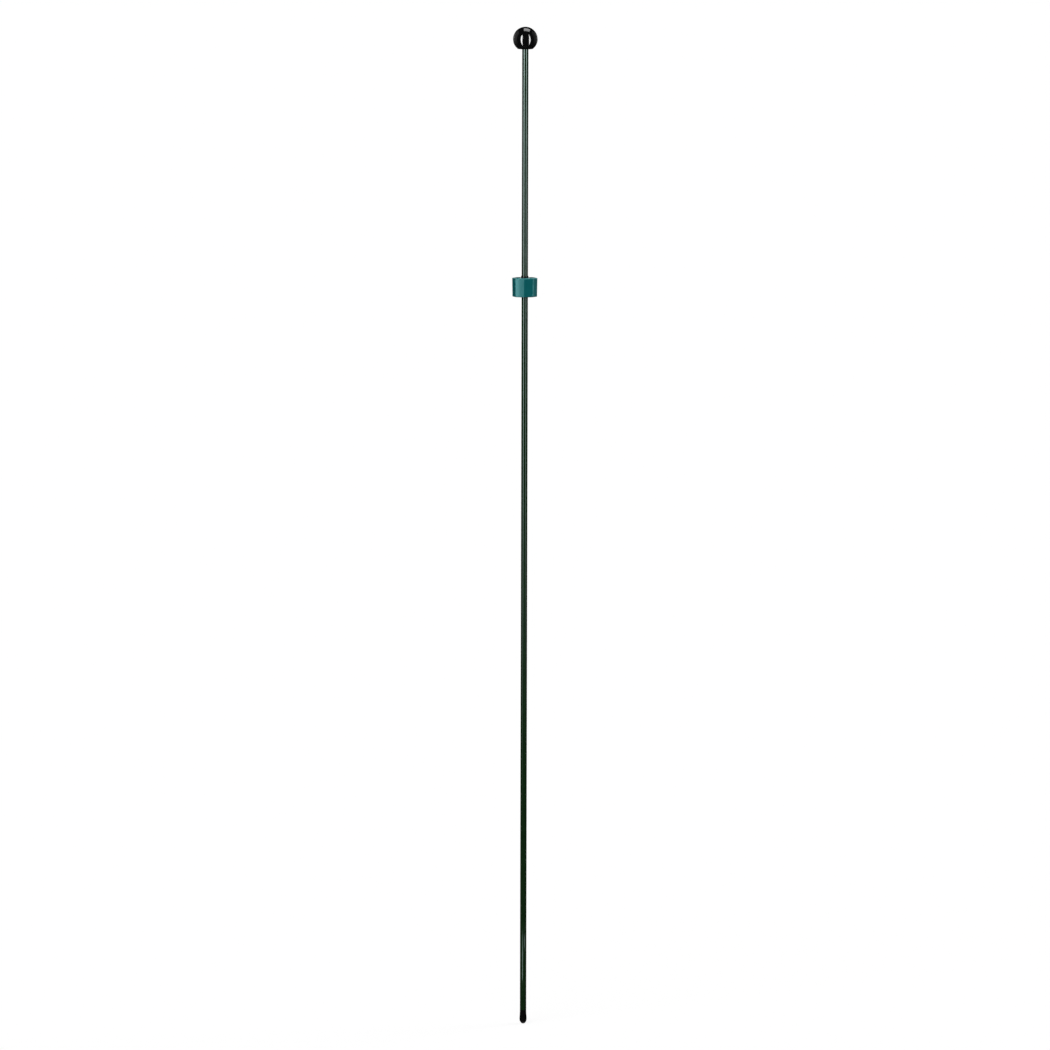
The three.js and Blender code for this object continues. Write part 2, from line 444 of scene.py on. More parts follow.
def grain(tree, scale, stretch=(1.0, 1.0, 1.0)):
    """Noise on the piece's own coordinates, drawn out along an axis by a small stretch there."""
    place = add(tree, "ShaderNodeTexCoord").outputs["Object"]
    inputs = {"Vector": place, "Scale": stretch}
    drawn = add(tree, "ShaderNodeMapping", inputs).outputs["Vector"]
    inputs = {"Vector": drawn, "Scale": scale, "Detail": GRAIN_DETAIL}
    return add(tree, "ShaderNodeTexNoise", inputs).outputs[0]


def blend(tree, share, first, second):
    """A colour between two, the second a colour or another node's socket."""
    if not isinstance(second, bpy.types.NodeSocket):
        second = (*second, 1.0)
    inputs = {MIX_SHARE: share, MIX_FIRST: (*first, 1.0), MIX_SECOND: second}
    return add(tree, "ShaderNodeMix", inputs, data_type="RGBA").outputs[MIX_RESULT]


def between(tree, share, low, high):
    """A number between two."""
    inputs = {"Value": share, "To Min": low, "To Max": high}
    return add(tree, "ShaderNodeMapRange", inputs).outputs["Result"]


def relief(tree, shader, height, distance, strength):
    """Fine relief on a surface."""
    inputs = {"Height": height, "Distance": distance, "Strength": strength}
    bump = add(tree, "ShaderNodeBump", inputs)
    tree.links.new(bump.outputs["Normal"], shader.inputs["Normal"])


def edge_wear(tree, scale):
    """How pale a point is, partly from wear and partly a painted highlight: high along the rounded
    edges, varied a little by noise.
    """
    edge = add(tree, "ShaderNodeAttribute", attribute_name="edge_wear").outputs["Fac"]
    patches = share_of(tree, grain(tree, scale), 0.15, 0.60)
    return maths(tree, "MULTIPLY", edge, patches)


def set_look(tree, shader, color, roughness):
    """Links a colour and a roughness to a shader."""
    tree.links.new(color, shader.inputs["Base Color"])
    tree.links.new(roughness, shader.inputs["Roughness"])


def polished_black():
    """Moulded ball: deep black, polished, with hairline marks from handling."""
    material, tree, shader = new_finish("polished_black")
    color = blend(tree, grain(tree, 420.0), *BALL_BLACKS)
    hairlines = grain(tree, 900.0, stretch=(1.0, 0.12, 0.6))
    roughness = between(tree, hairlines, 0.03, 0.075)
    set_look(tree, shader, color, roughness)
    shader.inputs["IOR"].default_value = GLOSS_IOR
    relief(tree, shader, grain(tree, 300.0), distance=0.00001, strength=0.06)
    return material


def green_coating():
    """Extruded coat of the rod: dark green gloss with faint lines along its length."""
    material, tree, shader = new_finish("green_coating")
    streaks = grain(tree, 1500.0, stretch=(1.0, 1.0, 0.006))
    clouds = grain(tree, 60.0)
    color = blend(tree, maths(tree, "MULTIPLY", streaks, clouds), *COAT_GREENS)
    roughness = between(tree, grain(tree, 2400.0, stretch=(1.0, 1.0, 0.02)), 0.03, 0.08)
    set_look(tree, shader, color, roughness)
    shader.inputs["IOR"].default_value = GLOSS_IOR
    shader.inputs["Specular Tint"].default_value = COAT_GLOSS
    relief(tree, shader, streaks, distance=0.00001, strength=0.02)
    return material


def teal_moulding():
    """Collar: satin teal with its mould's fine grain, pale edges that are partly wear and partly a
    painted highlight, and painted shade in its sockets and along its base.
    """
    material, tree, shader = new_finish("teal_moulding")
    clouds = blend(tree, grain(tree, 190.0), *COLLAR_TEALS)
    # Pale edges: partly wear, partly a painted highlight.
    wear_and_highlight = edge_wear(tree, 300.0)
    worn_and_highlit = blend(tree, maths(tree, "SUBTRACT", 1.0, wear_and_highlight), COLLAR_WORN_AND_HIGHLIT, clouds)
    # Painted shade in the sockets and along the base's edge.
    painted_shade = add(tree, "ShaderNodeAttribute", attribute_name="hollow_dirt").outputs["Fac"]
    color = blend(tree, maths(tree, "SUBTRACT", 1.0, painted_shade), COLLAR_PAINTED_SHADE, worn_and_highlit)
    roughness = between(tree, grain(tree, 3200.0), 0.25, 0.34)
    set_look(tree, shader, color, roughness)
    shader.inputs["IOR"].default_value = COLLAR_IOR
    shader.inputs["Specular Tint"].default_value = COLLAR_GLOSS
    relief(tree, shader, grain(tree, 4200.0), distance=0.00002, strength=0.04)
    return material


def sleeve_rubber():
    """Sleeve in the collar: smooth black rubber with a little dust."""
    material, tree, shader = new_finish("sleeve_rubber")
    dust = share_of(tree, grain(tree, 1400.0), 0.5, 0.8)
    color = blend(tree, dust, *SLEEVE_BLACKS)
    roughness = between(tree, grain(tree, 2600.0), 0.06, 0.11)
    set_look(tree, shader, color, roughness)
    shader.inputs["Specular IOR Level"].default_value = SLEEVE_SHINE
    relief(tree, shader, grain(tree, 2400.0), distance=0.00001, strength=0.05)
    return material


def cap_vinyl():
    """Tip cap: soft black vinyl, satin, scuffed dull where it goes into the ground."""
    material, tree, shader = new_finish("cap_vinyl")
    place = add(tree, "ShaderNodeTexCoord").outputs["Object"]
    height = add(tree, "ShaderNodeSeparateXYZ", {"Vector": place}).outputs["Z"]
    nose = share_of(tree, height, SCUFF_START, SCUFF_FULL)
    marks = share_of(tree, grain(tree, 1300.0, stretch=(1.0, 1.0, 0.3)), 0.46, 0.74)
    scuffs = maths(tree, "MULTIPLY", nose, marks)
    color = blend(tree, scuffs, *CAP_BLACKS)
    roughness = between(tree, scuffs, 0.36, 0.66)
    set_look(tree, shader, color, roughness)
    shader.inputs["Specular IOR Level"].default_value = CAP_SHINE
    relief(tree, shader, grain(tree, 3600.0), distance=0.00003, strength=0.18)
    return material


def drawn_steel():
    """Core of the rod: bright steel with the lines of the drawing die."""
    material, tree, shader = new_finish("drawn_steel")
    lines = grain(tree, 3000.0, stretch=(1.0, 1.0, 0.01))
    color = blend(tree, lines, *STEEL_GREYS)
    set_look(tree, shader, color, between(tree, lines, 0.22, 0.42))
    shader.inputs["Metallic"].default_value = 1.0
    relief(tree, shader, lines, distance=0.00002, strength=0.2)
    return material


def turned_brass():
    """Bush in the ball: brass with the fine rings of the lathe."""
    material, tree, shader = new_finish("turned_brass")
    rings = grain(tree, 2400.0, stretch=(0.03, 0.03, 1.0))
    color = blend(tree, rings, *BRASS_YELLOWS)
    set_look(tree, shader, color, between(tree, rings, 0.20, 0.40))
    shader.inputs["Metallic"].default_value = 1.0
    relief(tree, shader, rings, distance=0.00002, strength=0.2)
    return material


# Pieces of the stake


def threaded_core(grooves):
    """Steel rod from the cap to the ball, chamfered, and threaded where it is in the bush."""
    thread_start = CORE_TOP - THREAD_LENGTH
    lower_edge = (CORE_RADIUS, CORE_BOTTOM + CORE_CHAMFER)
    upper_edge = (CORE_RADIUS, CORE_TOP - CORE_CHAMFER)
    plain = line(lower_edge, (CORE_RADIUS, thread_start), ROD_STEP)
    thread = line((CORE_RADIUS, thread_start), upper_edge, THREAD_PITCH / THREAD_STEPS)
    outline = [
        (0.0, CORE_BOTTOM, 0.0),
        (CORE_RADIUS - CORE_CHAMFER, CORE_BOTTOM, 0.0),
        *plain,
        *thread[1:],
        (CORE_RADIUS - CORE_CHAMFER, CORE_TOP, 0.0),
        (0.0, CORE_TOP, 0.0),
    ]
    steel = drawn_steel()
    piece = new_piece("threaded_core", turned(outline, ROD_SIDES), steel)
    cut_grooves(
        piece, grooves, finish=steel,
        grooves=1.0, turns_per_metre=1.0 / THREAD_PITCH, depth=THREAD_DEPTH,
        lower=thread_start, upper=CORE_TOP + THREAD_RUNOUT, runout=THREAD_RUNOUT,
        outside_of=CORE_RADIUS - THREAD_DEPTH,
    )
    stand_for(piece, "stake", "steel_core")


def rod_coat():
    """Plastic coat over the core, with softened ends."""
    outline = rounded([
        (COAT_BORE, COAT_BOTTOM, 0.0),
        (COAT_RADIUS, COAT_BOTTOM, COAT_LIP),
        (COAT_RADIUS, COAT_TOP, COAT_LIP),
        (COAT_BORE, COAT_TOP, 0.0),
    ])
    lower_end = outline[:ROUND_STEPS + 2]
    upper_end = outline[ROUND_STEPS + 2:]
    outside = line(lower_end[-1][:2], upper_end[0][:2], ROD_STEP)[1:-1]
    bore = line(upper_end[-1][:2], lower_end[0][:2], ROD_STEP)[1:-1]
    shape = turned([*lower_end, *outside, *upper_end, *bore], ROD_SIDES, closed=True)
    piece = new_piece("rod_coat", shape, green_coating())
    stand_for(piece, "stake", "green_jacket")


def tip_cover():
    """Round-nosed cap that swells above its nose and thins to the coat at its lip."""
    outline = [(0.0, CAP_BOTTOM, 0.0)]
    for across, up, _ in arc(0.0, 0.0, 1.0, -math.pi / 2, 0.0, CAP_STEPS)[1:]:
        outline.append((across * CAP_RADIUS, CAP_NOSE * (1 + up), 0.0))
    flank_top = CAP_LIP - CAP_LIP_ROUND
    for step in range(1, CAP_STEPS + 1):
        share = step / CAP_STEPS
        swell = (1 + math.cos(math.pi * share)) / 2
        height = CAP_NOSE + (flank_top - CAP_NOSE) * share
        outline.append((COAT_RADIUS + (CAP_RADIUS - COAT_RADIUS) * swell, height, 0.0))
    lip = arc(COAT_RADIUS - CAP_LIP_ROUND, flank_top, CAP_LIP_ROUND, 0.0, math.pi / 2, ROUND_STEPS)
    outline += lip[1:]
    outline += [(CAP_SOCKET, CAP_LIP, 0.0), (CAP_SOCKET, CAP_FLOOR, 0.0), (0.0, CAP_FLOOR, 0.0)]
    piece = new_piece("tip_cover", turned(outline, ROD_SIDES), cap_vinyl())
    stand_for(piece, "stake", "tip_cap")
    return piece


def bush_outside(margin):
    """Corners up the bush's grooved outside to its roof, grown by a margin."""
    groove_height = (BUSH_TOP - BUSH_BOTTOM) / (2 * BUSH_GROOVES + 1)
    outer = BUSH_RADIUS + margin
    inner = outer - BUSH_GROOVE_DEPTH
    corners = [(outer, BUSH_BOTTOM - margin, BUSH_ROUND)]
    for groove in range(BUSH_GROOVES):
        lower = BUSH_BOTTOM + groove_height * (2 * groove + 1) + margin
        upper = lower + groove_height - 2 * margin
        corners += [(outer, lower, BUSH_ROUND), (inner, lower, BUSH_ROUND)]
        corners += [(inner, upper, BUSH_ROUND), (outer, upper, BUSH_ROUND)]
    corners += [(outer, BUSH_TOP + margin, BUSH_ROUND), (0.0, BUSH_TOP + margin, 0.0)]
    return corners


def knurled_bush(grooves):
    """Brass bush in the ball, knurled against turning and grooved against pulling out."""
    bore_roof = BUSH_TOP - BUSH_ROOF
    bore = [(0.0, bore_roof, 0.0), (BUSH_BORE, bore_roof, 0.0), (BUSH_BORE, BUSH_BOTTOM, 0.0)]
    outline = rounded([*bore, *bush_outside(0.0)], BUSH_STEPS)
    brass = turned_brass()
    piece = new_piece("knurled_bush", turned(outline, KNURL_FLUTES * KNURL_STEPS), brass)
    cut_grooves(
        piece, grooves, finish=brass,
        grooves=float(KNURL_FLUTES), turns_per_metre=0.0, depth=KNURL_DEPTH,
        lower=BUSH_BOTTOM, upper=BUSH_TOP, runout=BUSH_ROUND,
        outside_of=BUSH_RADIUS - BUSH_GROOVE_DEPTH / 2,
    )
    stand_for(piece, "stake", "ball_insert")


def polished_ball():
    """Ball cut flat underneath, with a seat for the coat and the hollow that the bush fills."""
    centre = BALL_TOP - BALL_RADIUS
    fillet_level = BALL_FLAT + BALL_EDGE_ROUND
    fillet_across = math.sqrt((BALL_RADIUS - BALL_EDGE_ROUND) ** 2 - (centre - fillet_level) ** 2)
    meet = math.atan2(fillet_level - centre, fillet_across)
    hollow = rounded(bush_outside(FIT), BUSH_STEPS)[::-1]
    outline = [
        *hollow,
        (BALL_SEAT_RADIUS, BUSH_BOTTOM - FIT, 0.0),
        (BALL_SEAT_RADIUS, BALL_FLAT, 0.0),
        *arc(fillet_across, fillet_level, BALL_EDGE_ROUND, -math.pi / 2, meet, ROUND_STEPS),
        *arc(0.0, centre, BALL_RADIUS, meet, math.pi / 2, BALL_STEPS)[1:-1],
        (0.0, BALL_TOP, 0.0),
    ]
    piece = new_piece("polished_ball", turned(outline), polished_black())
    even_normals(piece)
    stand_for(piece, "stake", "ball_top")
    return piece


# Pieces of the slider


def rubber_sleeve():
    """Rubber sleeve on the rod, held in the hub by a bead, with its lip above the collar."""
    outline = rounded([
        (SLEEVE_BORE, SLEEVE_BOTTOM, SLEEVE_ROUND),
        (SLEEVE_RADIUS, SLEEVE_BOTTOM, SLEEVE_ROUND),
        (SLEEVE_RADIUS, COLLAR_MIDDLE - SLEEVE_BEAD_HALF, 0.0),
        (SLEEVE_BEAD, COLLAR_MIDDLE - SLEEVE_BEAD_HALF, SLEEVE_ROUND),
        (SLEEVE_BEAD, COLLAR_MIDDLE + SLEEVE_BEAD_HALF, SLEEVE_ROUND),
        (SLEEVE_RADIUS, COLLAR_MIDDLE + SLEEVE_BEAD_HALF, 0.0),
        (SLEEVE_RADIUS, SLEEVE_TOP, SLEEVE_ROUND),
        (SLEEVE_BORE, SLEEVE_TOP, SLEEVE_ROUND),
    ])
    piece = new_piece("rubber_sleeve", turned(outline, closed=True), sleeve_rubber())
    even_normals(piece)
    stand_for(piece, "grip", "collar_grip")


def face_distance(height):
    """Distance from the axis to the collar's side faces at a height, which lean out upwards."""
    top = COLLAR_REACH * math.cos(math.pi / COLLAR_SIDES)
    return top - math.tan(COLLAR_DRAFT) * (COLLAR_TOP - height)


def octagon(distance, corner_round):
    """Outline of the collar's sides at a distance from the axis, its first corner to the front."""
    reach = distance / math.cos(math.pi / COLLAR_SIDES)
    corners = []
    for side in range(COLLAR_SIDES):
        angle = 2 * math.pi * side / COLLAR_SIDES
        corners.append((reach * math.sin(angle), -reach * math.cos(angle), corner_round))
    outline = []
    # Each corner's paleness, partly wear and partly a painted highlight, is set corner by corner.
    for x, y, worn_and_highlit in rounded(corners):
        corner = round(math.atan2(x, -y) * COLLAR_SIDES / (2 * math.pi)) % COLLAR_SIDES
        outline.append((x, y, worn_and_highlit * CORNER_WEAR_AND_HIGHLIGHT[corner]))
    return outline


def socket_outline(distance, hub_side, corner_round):
    """Outline of the right socket: the hub's side and the four collar faces round it."""
    reach = distance / math.cos(math.pi / COLLAR_SIDES)
    steep = 3 * math.pi / COLLAR_SIDES
    hub_end = (distance - hub_side * math.cos(steep)) / math.sin(steep)
    slant = reach * math.sqrt(0.5)
    corners = rounded([
        (hub_side, -hub_end, corner_round),
        (slant, -slant, corner_round),
        (reach, 0.0, corner_round),
        (slant, slant, corner_round),
        (hub_side, hub_end, corner_round),
    ])
    return [(x, y, 0.0) for x, y, _ in corners]


def at_level(outline, height, wear_and_highlight, way=1.0):
    """An outline's points at a height with a least edge wear and highlight, turned half round
    where the way is -1.
    """
    return [(way * x, way * y, height, max(wear_and_highlight, worn_and_highlit)) for x, y, worn_and_highlit in outline]


def collar_side_rings(shape):
    """Rings up the collar's sides, from the base's edge with its painted shade to the top's edge,
    pale from wear and a painted highlight.
    """
    centre = face_distance(COLLAR_BOTTOM) / 2
    profile = rounded([
        (centre, COLLAR_BOTTOM, 0.0),
        (face_distance(COLLAR_BOTTOM), COLLAR_BOTTOM, COLLAR_EDGE_ROUND),
        (face_distance(COLLAR_TOP), COLLAR_TOP, COLLAR_EDGE_ROUND),
        (centre, COLLAR_TOP, 0.0),
    ])[1:-1]
    rings = []
    for distance, height, wear_and_highlight in profile:
        inset = face_distance(height) - distance
        on_side = max(0.0, 1 - inset / COLLAR_EDGE_ROUND)
        corners = octagon(distance, COLLAR_CORNER_ROUND - inset)
        outline = [(x, y, worn_and_highlit * on_side) for x, y, worn_and_highlit in corners]
        if height > COLLAR_MIDDLE:
            rings.append(ring(shape, at_level(outline, height, wear_and_highlight)))
        else:
            # Painted shade along the base's rounded edge.
            rings.append(ring(shape, at_level(outline, height, 0.0), BASE_PAINTED_SHADE * wear_and_highlight))
    return rings


def socket_rings(shape, way):
    """Rings down one socket, from its mouth to the edge of its floor."""
    floor = COLLAR_BOTTOM + SOCKET_FLOOR
    profile = rounded([
        (-COLLAR_WALL, COLLAR_TOP, 0.0),
        (0.0, COLLAR_TOP, SOCKET_MOUTH_ROUND),
        (0.0, floor, SOCKET_FLOOR_ROUND),
        (COLLAR_WALL, floor, 0.0),
    ])[1:-1]
    rings = []
    for inset, height, wear_and_highlight in profile:
        distance = face_distance(height) - COLLAR_WALL - inset
        hub_side = GROOVE_RADIUS + HUB_WALL + inset
        outline = socket_outline(distance, hub_side, SOCKET_CORNER_ROUND - inset)
        # Painted shade, darker deeper in the socket.
        painted_shade = min(1.0, (COLLAR_TOP - height) / SOCKET_SHADE_DEPTH)
        rings.append(ring(shape, at_level(outline, height, wear_and_highlight, way), painted_shade))
    return rings


def bore_rings(shape):
    """Rings down the hub's bore, with the groove that holds the sleeve's bead."""
    profile = rounded([
        (2 * BORE_RADIUS, COLLAR_TOP, 0.0),
        (BORE_RADIUS, COLLAR_TOP, BORE_MOUTH_ROUND),
        (BORE_RADIUS, COLLAR_MIDDLE + GROOVE_HALF, 0.0),
        (GROOVE_RADIUS, COLLAR_MIDDLE + GROOVE_HALF, 0.0),
        (GROOVE_RADIUS, COLLAR_MIDDLE - GROOVE_HALF, 0.0),
        (BORE_RADIUS, COLLAR_MIDDLE - GROOVE_HALF, 0.0),
        (BORE_RADIUS, COLLAR_BOTTOM, BORE_MOUTH_ROUND),
        (2 * BORE_RADIUS, COLLAR_BOTTOM, 0.0),
    ])[1:-1]
    return round_rings(shape, profile, ROD_SIDES)


def pin_mark_rings(shape, mark):
    """Rings of the shallow round mark that an ejector pin leaves in the base."""
    angle = math.pi / PIN_MARKS + 2 * math.pi * mark / PIN_MARKS
    centre = (PIN_MARK_REACH * math.sin(angle), PIN_MARK_REACH * math.cos(angle))
    rings = []
    for depth in (0.0, PIN_MARK_DEPTH):
        height = COLLAR_BOTTOM + depth
        points = circle(PIN_MARK_RADIUS - depth, height, PIN_MARK_SIDES, centre=centre)
        rings.append(ring(shape, points))
    return rings


def collar_moulding():
    """Eight-sided collar with rounded edges, two open sockets and a bore for the sleeve."""
    shape = new_shape()
    sides = collar_side_rings(shape)
    sockets = [socket_rings(shape, way) for way in (1.0, -1.0)]
    bore = bore_rings(shape)
    marks = [pin_mark_rings(shape, mark) for mark in range(PIN_MARKS)]
    for rings in [sides, *sockets, bore, *marks]:
        skin(shape, rings)
    for rings in [*sockets, *marks]:
        shape.faces.new(rings[-1])
    flat_fill(shape, [sides[-1], sockets[0][0], sockets[1][0], bore[0]])
    flat_fill(shape, [sides[0], bore[-1], *[rings[0] for rings in marks]])
    piece = new_piece("collar_moulding", shape, teal_moulding())
    even_normals(piece)
    stand_for(piece, "collar", "collar_body")
    return piece


# Camera


def photo_camera():
    """Long lens at the photograph's viewing angle, set by where the stake's ends lie in it."""
    dip_to_ball = math.atan2(CAMERA_HEIGHT - BALL_TOP, CAMERA_DISTANCE)
    dip_to_tip = math.atan2(CAMERA_HEIGHT - CAP_BOTTOM, CAMERA_DISTANCE)
    focal = (TIP_ROW - BALL_TOP_ROW) / (2 * math.tan((dip_to_tip - dip_to_ball) / 2))
    middle_row = (TIP_ROW + BALL_TOP_ROW) / 2
    dip = (dip_to_ball + dip_to_tip) / 2 - (middle_row - PHOTO_SIDE / 2) / focal
    sideways = (PHOTO_SIDE / 2 - AXIS_COLUMN) * CAMERA_DISTANCE / focal
    data = bpy.data.cameras.new("photo_camera")
    data.sensor_width = SENSOR
    data.lens = SENSOR * focal / PHOTO_SIDE
    data.clip_end = CLIP_END
    camera = bpy.data.objects.new("photo_camera", data)
    bpy.context.scene.collection.objects.link(camera)
    place = Matrix.Translation((sideways, -CAMERA_DISTANCE, CAMERA_HEIGHT))
    tilt = Matrix.Rotation(math.pi / 2 - dip, 4, "X")
    roll = Matrix.Rotation(LEAN, 4, "Z")
    camera.matrix_world = Matrix.Rotation(CAMERA_AZIMUTH, 4, "Z") @ place @ tilt @ roll
    bpy.context.scene.camera = camera


# Studio

FLOOR_SIDE = 400.0
FLOOR_GLOW = 0.76
FLOOR_SHADE = 0.30
FLOOR_BOUNCE = 0.75
AMBIENT = 0.24
LAMP_SPREAD = math.radians(40)
PANEL_DISTANCE = 0.40
BALL_PANEL_MIDDLE = (0.0455, 0.065, BALL_TOP + 0.25)
BALL_PANEL_HALF = (0.0915, 0.095)
BALL_PANEL_GLOW = 4.6
FLAG_RADIUS = 0.7
FLAG_BOTTOM = 0.002
FLAG_TOP = 1.7
FLAG_GLOW = 0.02
RIM_RISE = (0.62, 0.98)
RIM_HEIGHTS = (0.6, 1.35)
TALL_GRID = math.radians(80)

# Crescents on the ball: degrees up it where each starts, is full, stops being full and ends.
LEFT_CRESCENT = (20.0, 10.0, -9.0, -32.0)
RIGHT_CRESCENT = (22.0, 2.0, -7.0, -28.5)
CRESCENT_BOXES = 16
CRESCENT_BOW = 1.25
CRESCENT_MIDDLE = -6.0
CRESCENT_GAP = 0.012
CRESCENT_GRID = math.radians(40)

# Viewers of the crescents: azimuths from the camera's line, and how far above level they are.
FRONT_VIEW = (0, 3.7)
SIDE_AZIMUTHS = (90, 180, 270)
SIDE_RISE = 12


def set_object(name, mesh, material):
    """A piece of the studio, which isn't part of the stake."""
    mesh.materials.append(material)
    piece = bpy.data.objects.new(name, mesh)
    bpy.context.scene.collection.objects.link(piece)
    return piece


def for_reflections(piece):
    """Lets only reflections see a piece of the studio."""
    piece.visible_camera = False
    piece.visible_diffuse = False
    piece.visible_transmission = False
    piece.visible_volume_scatter = False
    piece.visible_shadow = False


def level_sheet(name, middle, half):
    """Level rectangle about its middle, from half its sizes."""
    corners = []
    for across, deep in ((-1, -1), (1, -1), (1, 1), (-1, 1)):
        corners.append((middle[0] + across * half[0], middle[1] + deep * half[1], middle[2]))
    mesh = bpy.data.meshes.new(name)
    mesh.from_pydata(corners, [], [(0, 1, 2, 3)])
    return mesh


def background_rays(tree):
    """1 for the rays that see the background as white: camera, glossy and transmission rays."""
    path = add(tree, "ShaderNodeLightPath").outputs
    shown = maths(tree, "MAXIMUM", path["Is Camera Ray"], path["Is Glossy Ray"])
    return maths(tree, "MAXIMUM", shown, path["Is Transmission Ray"])


def matt_grey(tree, level):
    """A shader of matt grey."""
    return add(tree, "ShaderNodeBsdfDiffuse", {"Color": (level, level, level, 1)}).outputs[0]


def pale_floor():
    """Wide pale floor, white to the eye, which keeps a faint shadow."""
    mesh = level_sheet("floor", (0, 0, 0), (FLOOR_SIDE / 2, FLOOR_SIDE / 2))
    material, tree, shader = new_finish("pale_floor")
    tree.nodes.remove(shader)
    light = add(tree, "ShaderNodeEmission", {"Strength": FLOOR_GLOW}).outputs[0]
    shade = matt_grey(tree, FLOOR_SHADE)
    seen = add(tree, "ShaderNodeAddShader", {0: light, 1: shade}).outputs[0]
    bounce = matt_grey(tree, FLOOR_BOUNCE)
    inputs = {0: background_rays(tree), 1: bounce, 2: seen}
    surface = add(tree, "ShaderNodeMixShader", inputs).outputs[0]
    tree.links.new(surface, tree.nodes["Material Output"].inputs["Surface"])
    set_object("floor", mesh, material)


def white_world():
    """White background with a low, even light on the stake."""
    world = bpy.data.worlds.new("white_world")
    world.use_nodes = True
    tree = world.node_tree
    background = tree.nodes["Background"]
    background.inputs["Color"].default_value = (1, 1, 1, 1)
    strength = between(tree, background_rays(tree), AMBIENT, 1.0)
    tree.links.new(strength, background.inputs["Strength"])
    bpy.context.scene.world = world


def compass(azimuth):
    """Level directions outward to an azimuth from the camera's line, and sideways to its right."""
    around = CAMERA_AZIMUTH + math.radians(azimuth)
    outward = Vector((math.sin(around), -math.cos(around), 0))
    return outward, Vector((math.cos(around), math.sin(around), 0))


def raised(level_direction, degrees):
    """A level direction, tilted up."""
    tilt = math.radians(degrees)
    return level_direction * math.cos(tilt) + Vector((0, 0, math.sin(tilt)))


def set_lamp(name, data, place, outward):
    """A lamp that shines back from an outward direction, out of the camera's sight."""
    lamp = bpy.data.objects.new(name, data)
    bpy.context.scene.collection.objects.link(lamp)
    lamp.location = place
    lamp.rotation_euler = outward.to_track_quat("Z", "Y").to_euler()
    lamp.visible_camera = False
    return lamp


def soft_lamp(name, azimuth, elevation, level):
    """Large, far lamp that lights a facing white card to a level, with no highlight of its own."""
    data = bpy.data.lights.new(name, "SUN")
    data.angle = LAMP_SPREAD
    data.energy = level * math.pi
    outward = raised(compass(azimuth)[0], elevation)
    lamp = set_lamp(name, data, outward * FLAG_TOP, outward)
    lamp.visible_glossy = False


def glow(name, level, rise=None, power=1.0, fall=None):
    """Light of a panel, which may grow between two heights by a power or fade between two."""
    material, tree, shader = new_finish(name)
    tree.nodes.remove(shader)
    place = add(tree, "ShaderNodeTexCoord").outputs["Object"]
    height = add(tree, "ShaderNodeSeparateXYZ", {"Vector": place}).outputs["Z"]
    light = add(tree, "ShaderNodeEmission", {"Strength": level})
    strength = level
    if rise:
        growth = maths(tree, "POWER", share_of(tree, height, *rise), power)
        strength = maths(tree, "MULTIPLY", growth, strength)
    if fall:
        strength = maths(tree, "MULTIPLY", share_of(tree, height, *reversed(fall)), strength)
    if rise or fall:
        tree.links.new(strength, light.inputs["Strength"])
    tree.links.new(light.outputs[0], tree.nodes["Material Output"].inputs["Surface"])
    return material


def receivers(name, pieces, only):
    """Group that keeps a light to some pieces, or off them."""
    group = bpy.data.collections.new(name)
    for piece in pieces:
        group.objects.link(piece)
    for item in group.collection_objects:
        item.light_linking.link_state = "INCLUDE" if only else "EXCLUDE"
    return group


def strip(name, material, group, azimuths, heights):
    """Upright strip of light between two azimuths from the camera's line and two heights."""
    corners = []
    for height in heights:
        for azimuth in azimuths:
            corners.append(compass(azimuth)[0] * PANEL_DISTANCE + Vector((0, 0, height)))
    mesh = bpy.data.meshes.new(name)
    mesh.from_pydata(corners, [], [(0, 1, 3, 2)])
    panel = set_object(name, mesh, material)
    for_reflections(panel)
    panel.light_linking.receiver_collection = group


def soft_box(name, place, outward, size, level, group, grid):
    """Soft box that only shows as gloss; a grid keeps its light near the line it faces along."""
    data = bpy.data.lights.new(name, "AREA")
    data.shape = "RECTANGLE"
    data.size, data.size_y = size
    data.spread = grid
    let_through = 1 - grid / 2 / math.tan(grid / 2)
    data.energy = level * math.pi * size[0] * size[1] * let_through
    lamp = set_lamp(name, data, place, outward)
    lamp.visible_diffuse = False
    lamp.light_linking.receiver_collection = group


def tall_box(name, group, azimuth, distance, shift, size, level):
    """Gridded box that stands on the floor and faces the rod, or past it where it is shifted."""
    outward, sideways = compass(azimuth)
    place = outward * distance + sideways * shift + Vector((0, 0, size[1] / 2))
    soft_box(name, place, outward, size, level, group, TALL_GRID)


def ball_crescent(name, group, view, ends, azimuth, width, level):
    """Column of gridded boxes that the ball shows as a crescent to a viewer."""
    outward, right = compass(view[0])
    toward = raised(outward, view[1])
    up = toward.cross(right)
    start, full_start, full_end, end = ends
    step = (start - end) / CRESCENT_BOXES
    height = BALL_RADIUS * math.radians(step) + CRESCENT_GAP * math.tan(math.radians(2 * step))
    for box in range(CRESCENT_BOXES):
        angle = start - (box + 0.5) * step
        share = min(1.0, (start - angle) / (start - full_start), (angle - end) / (full_end - end))
        bow = math.radians(CRESCENT_BOW * (angle - CRESCENT_MIDDLE))
        turn = math.radians(azimuth) * math.cos(bow)
        around = right * math.sin(turn) + toward * math.cos(turn)
        normal = around * math.cos(math.radians(angle)) + up * math.sin(math.radians(angle))
        ray = normal * 2 * normal.dot(toward) - toward
        place = Vector((0, 0, BALL_TOP - BALL_RADIUS)) + normal * BALL_RADIUS + ray * CRESCENT_GAP
        soft_box(name, place, ray, (width * share, height), level, group, CRESCENT_GRID)


